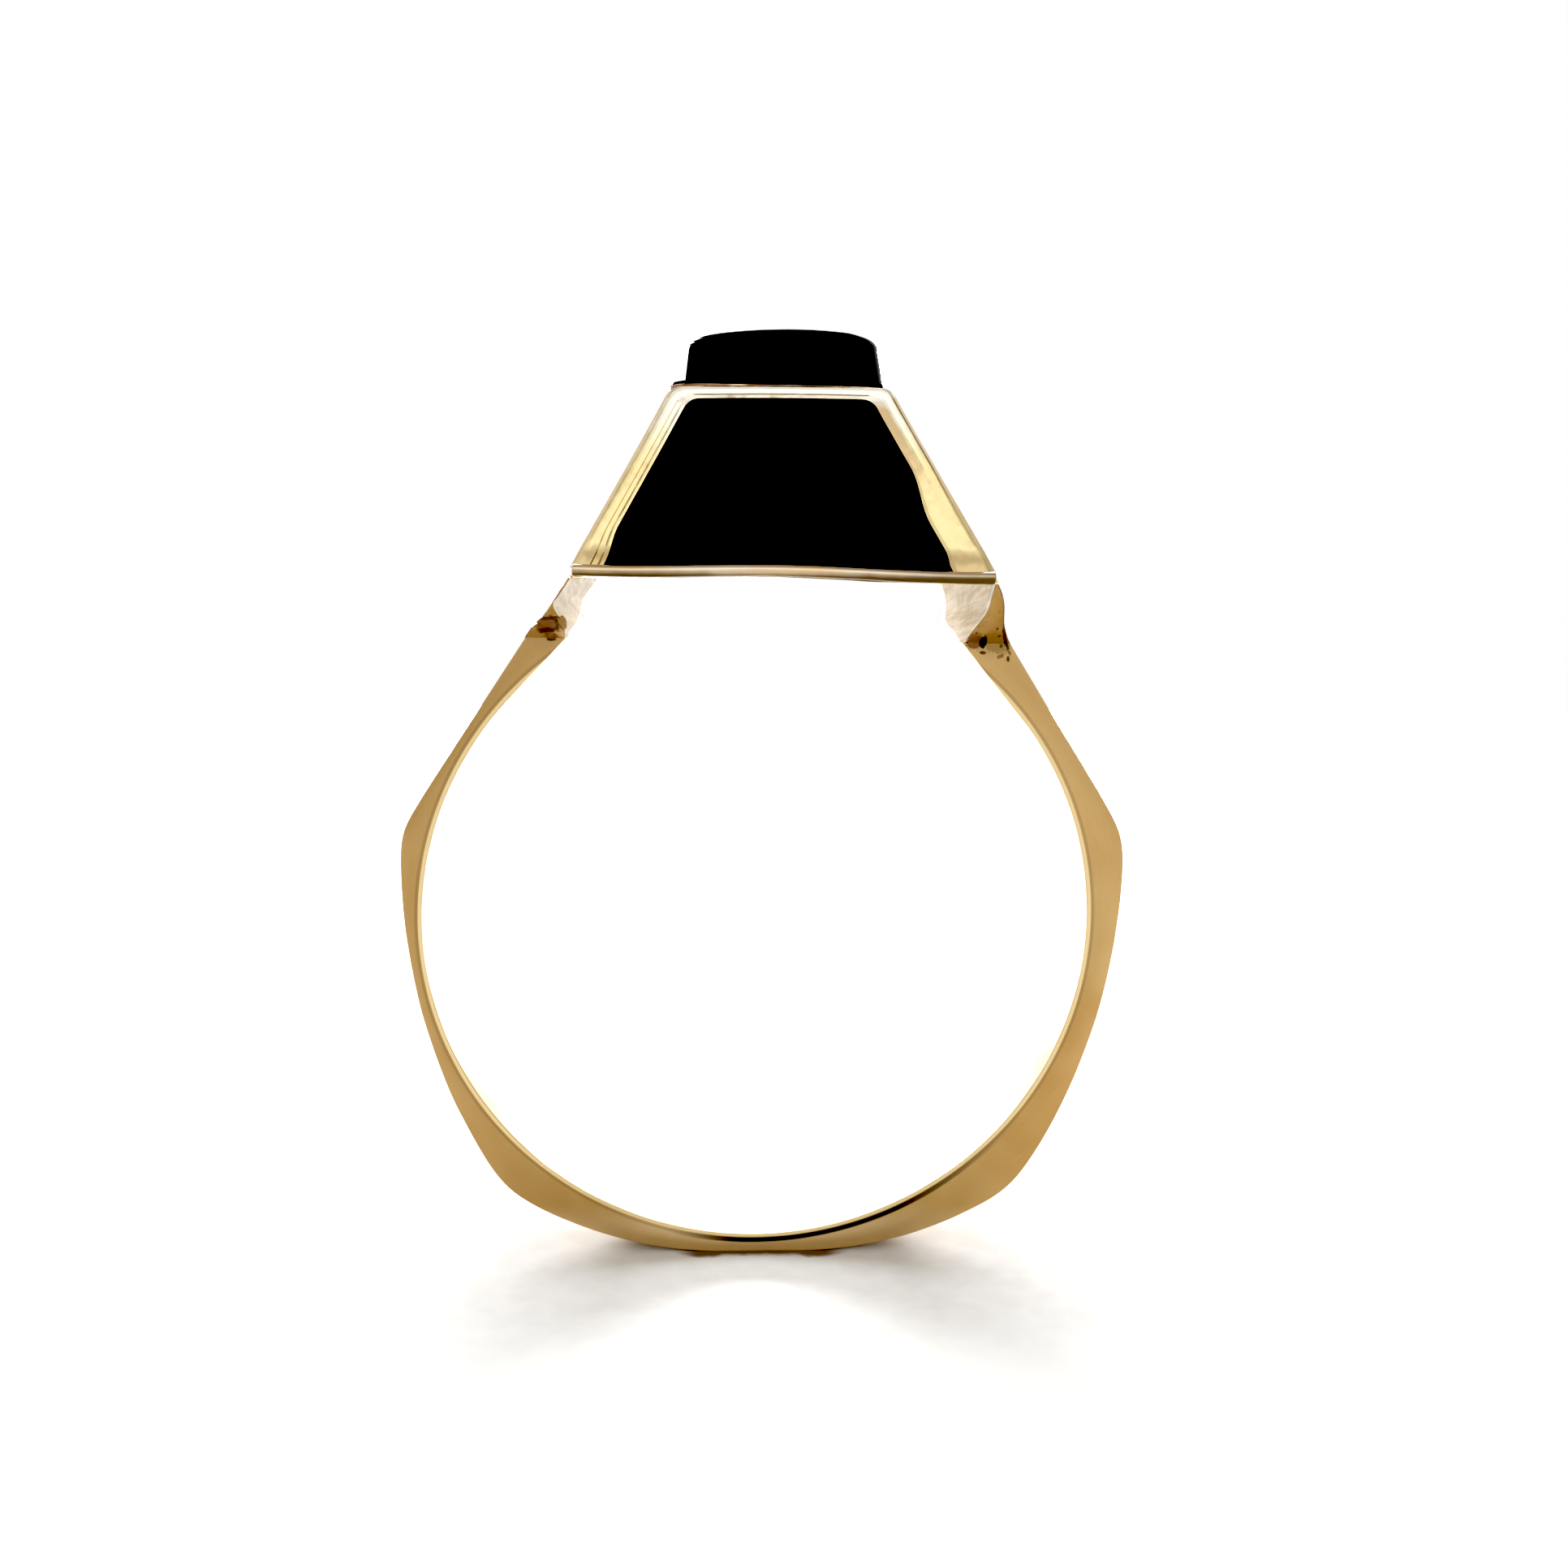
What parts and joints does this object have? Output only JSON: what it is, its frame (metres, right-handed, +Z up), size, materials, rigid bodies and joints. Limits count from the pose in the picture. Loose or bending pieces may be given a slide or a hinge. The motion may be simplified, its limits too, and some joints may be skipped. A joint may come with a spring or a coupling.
{
  "type": "signet ring",
  "caption": "Yellow gold signet ring: hoop with flats, flared shoulders and a hollow sloping head that carries a black onyx table and framed black onyx side panels.",
  "frame": {"origin": "under the middle of the shank, on the surface that the ring stands on", "axes": "+Z up through the middle of the table, +Y along the finger hole away from the viewer, +X to the viewer's right"},
  "size_m": [0.0188, 0.0096, 0.0243],
  "materials": {
    "satin_gold": "satin yellow gold with fine file and polishing marks",
    "polished_gold": "polished yellow gold",
    "rough_gold": "unpolished gold as left by the file",
    "solder": "darkened gold solder",
    "onyx": "polished black onyx",
    "cement": "dark jeweller's cement"
  },
  "bodies": {
    "root": {"shank": "satin_gold", "shoulder_left": "satin_gold", "shoulder_right": "satin_gold", "solder_seam_left": "solder", "solder_seam_right": "solder", "head_side_left": "polished_gold", "head_side_right": "polished_gold", "panel_frame_front": "polished_gold", "panel_frame_back": "polished_gold", "base_rail_front": "satin_gold", "base_rail_back": "satin_gold", "panel_backing_front": "rough_gold", "panel_backing_back": "rough_gold", "table_seat": "polished_gold", "table_bezel": "polished_gold", "onyx_table": "onyx", "onyx_panel_front": "onyx", "onyx_panel_back": "onyx", "table_cement": "cement", "panel_cement_front": "cement", "panel_cement_back": "cement"}
  },
  "joints": []
}
